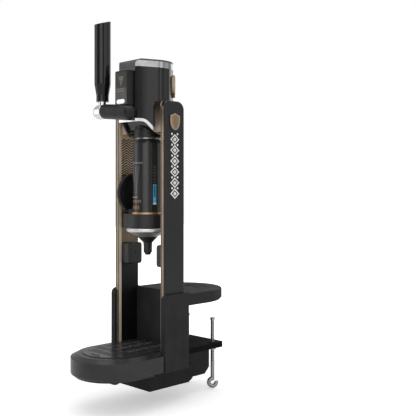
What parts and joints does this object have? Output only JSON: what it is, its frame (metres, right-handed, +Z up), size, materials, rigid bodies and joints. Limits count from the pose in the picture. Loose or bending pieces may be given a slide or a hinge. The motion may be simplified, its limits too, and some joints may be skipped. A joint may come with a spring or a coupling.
{
  "type": "mini keg beer dispenser",
  "caption": "Tall clamp-on draught dispenser: hooks over a worktop edge, holds a small keg between two cheeks over a drip tray, with a pull handle at the top.",
  "frame": {"origin": "middle of the shelf underside, on the face that rests on the worktop", "axes": "+Z up, -Y towards the drinker, +Y over the worktop, +X to the right seen from the front"},
  "size_m": [0.1863, 0.378, 0.832],
  "materials": {
    "black_satin_moulding": "satin black moulding with a fine grain",
    "dark_base_moulding": "dark fine-grained moulding",
    "black_gloss_lacquer": "gloss black lacquered sheet",
    "keg_print": "satin black printed keg with pale and gold bands",
    "gold_trim": "brushed pale gold",
    "patterned_panel": "gold wave lines on black above and below a plain gold field",
    "chrome": "polished chrome",
    "steel_frame": "black powder-coated steel",
    "bright_steel": "bright turned steel",
    "bronze": "sintered bronze",
    "black_rubber": "soft black rubber",
    "grey_rubber": "soft dark grey rubber",
    "display_window": "dark gloss window",
    "lit_button": "lit white lens",
    "circuit_board": "green circuit board"
  },
  "bodies": {
    "root": {"air_pump": "black_satin_moulding", "base_housing": "black_satin_moulding", "can_adapter": "black_satin_moulding", "clamp_frame": "steel_frame", "clamp_nuts": "bright_steel", "control_board": "circuit_board", "counter_pad": "black_rubber", "display_housing": "black_satin_moulding", "display_panel": "display_window", "head_badge": "gold_trim", "head_band": "chrome", "head_cap": "black_satin_moulding", "head_housing": "black_satin_moulding", "head_shoulder_left": "gold_trim", "head_shoulder_right": "gold_trim", "head_trim": "chrome", "lift_guide": "black_satin_moulding", "power_box": "dark_base_moulding", "power_inlet": "black_satin_moulding", "power_supply": "circuit_board", "sensor_pod_left": "black_satin_moulding", "sensor_pod_right": "black_satin_moulding", "shelf_insert": "black_satin_moulding", "shoulder_bolts": "bright_steel", "side_badge": "gold_trim", "tap_arm": "black_satin_moulding", "tap_bushes": "bronze", "tower_liner_left": "patterned_panel", "tower_liner_right": "patterned_panel", "tower_post_left": "steel_frame", "tower_post_right": "steel_frame", "tower_shell_left": "black_gloss_lacquer", "tower_shell_right": "black_gloss_lacquer", "tower_trim_left": "gold_trim", "tower_trim_right": "gold_trim", "tray_feet": "grey_rubber", "tray_shell": "black_satin_moulding"},
    "tap_lever": {"tap_axle": "bright_steel", "tap_crank": "bright_steel", "tap_hub": "chrome", "tap_hub_cap": "black_satin_moulding", "tap_stem": "chrome", "tap_handle": "black_satin_moulding"},
    "valve_rod": {"valve_rod": "bright_steel"},
    "power_button": {"power_button": "lit_button"},
    "keg_carriage": {"mini_keg": "keg_print", "can_cup": "black_satin_moulding", "cup_ring": "gold_trim", "funnel": "chrome", "nozzle": "black_satin_moulding", "piercing_needle": "bright_steel", "lift_rack": "black_satin_moulding"},
    "lift_wheel": {"lift_wheel": "black_satin_moulding", "pinion_shaft": "bright_steel"},
    "drip_bowl": {"drip_bowl": "black_satin_moulding"},
    "drip_grille": {"drip_grille": "black_satin_moulding"},
    "clamp_tip_right": {"clamp_tip_right": "chrome"},
    "clamp_tip_left": {"clamp_tip_left": "chrome"},
    "clamp_screw_right": {"clamp_screw_right": "chrome"},
    "clamp_screw_left": {"clamp_screw_left": "chrome"}
  },
  "joints": [
    {"name": "tap_pull", "type": "hinge", "parent": "root", "child": "tap_lever", "pos_m": [0, -0.1805, 0.423], "axis": [1, 0, 0], "range_deg": [0, 45]},
    {"name": "valve_lift", "type": "slide", "parent": "root", "child": "valve_rod", "axis": [0, 0, 1], "range_m": [0, 0.01311]},
    {"name": "button_press", "type": "slide", "parent": "root", "child": "power_button", "axis": [0, 1, 0], "range_m": [0, 0.0016], "stiffness_N_per_m": 400, "springref_m": -0.001},
    {"name": "carriage_lower", "type": "slide", "parent": "root", "child": "keg_carriage", "axis": [0, 0, -1], "range_m": [0, 0.0235]},
    {"name": "wheel_turn", "type": "hinge", "parent": "root", "child": "lift_wheel", "pos_m": [-0.05, -0.115, 0.243], "axis": [-1, 0, 0], "range_deg": [0, 180]},
    {"name": "bowl_lift", "type": "slide", "parent": "root", "child": "drip_bowl", "axis": [0, 0, 1], "range_m": [0, 0.06]},
    {"name": "grille_lift", "type": "slide", "parent": "drip_bowl", "child": "drip_grille", "axis": [0, 0, 1], "range_m": [0, 0.04]},
    {"name": "tip_travel_right", "type": "slide", "parent": "root", "child": "clamp_tip_right", "axis": [0, 0, 1], "range_m": [-0.02, 0.02]},
    {"name": "screw_turn_right", "type": "hinge", "parent": "clamp_tip_right", "child": "clamp_screw_right", "pos_m": [0.042, 0.045, -0.12], "axis": [0, 0, 1], "range_deg": [-3600, 3600]},
    {"name": "tip_travel_left", "type": "slide", "parent": "root", "child": "clamp_tip_left", "axis": [0, 0, 1], "range_m": [-0.02, 0.02]},
    {"name": "screw_turn_left", "type": "hinge", "parent": "clamp_tip_left", "child": "clamp_screw_left", "pos_m": [-0.042, 0.045, -0.12], "axis": [0, 0, 1], "range_deg": [-3600, 3600]}
  ],
  "couplings": [
    {"joint": "valve_lift", "follows": "tap_pull", "m_per_rad": 0.016566},
    {"joint": "wheel_turn", "follows": "carriage_lower", "rad_per_m": 133.33},
    {"joint": "screw_turn_right", "follows": "tip_travel_right", "rad_per_m": 3141.6},
    {"joint": "screw_turn_left", "follows": "tip_travel_left", "rad_per_m": 3141.6}
  ]
}
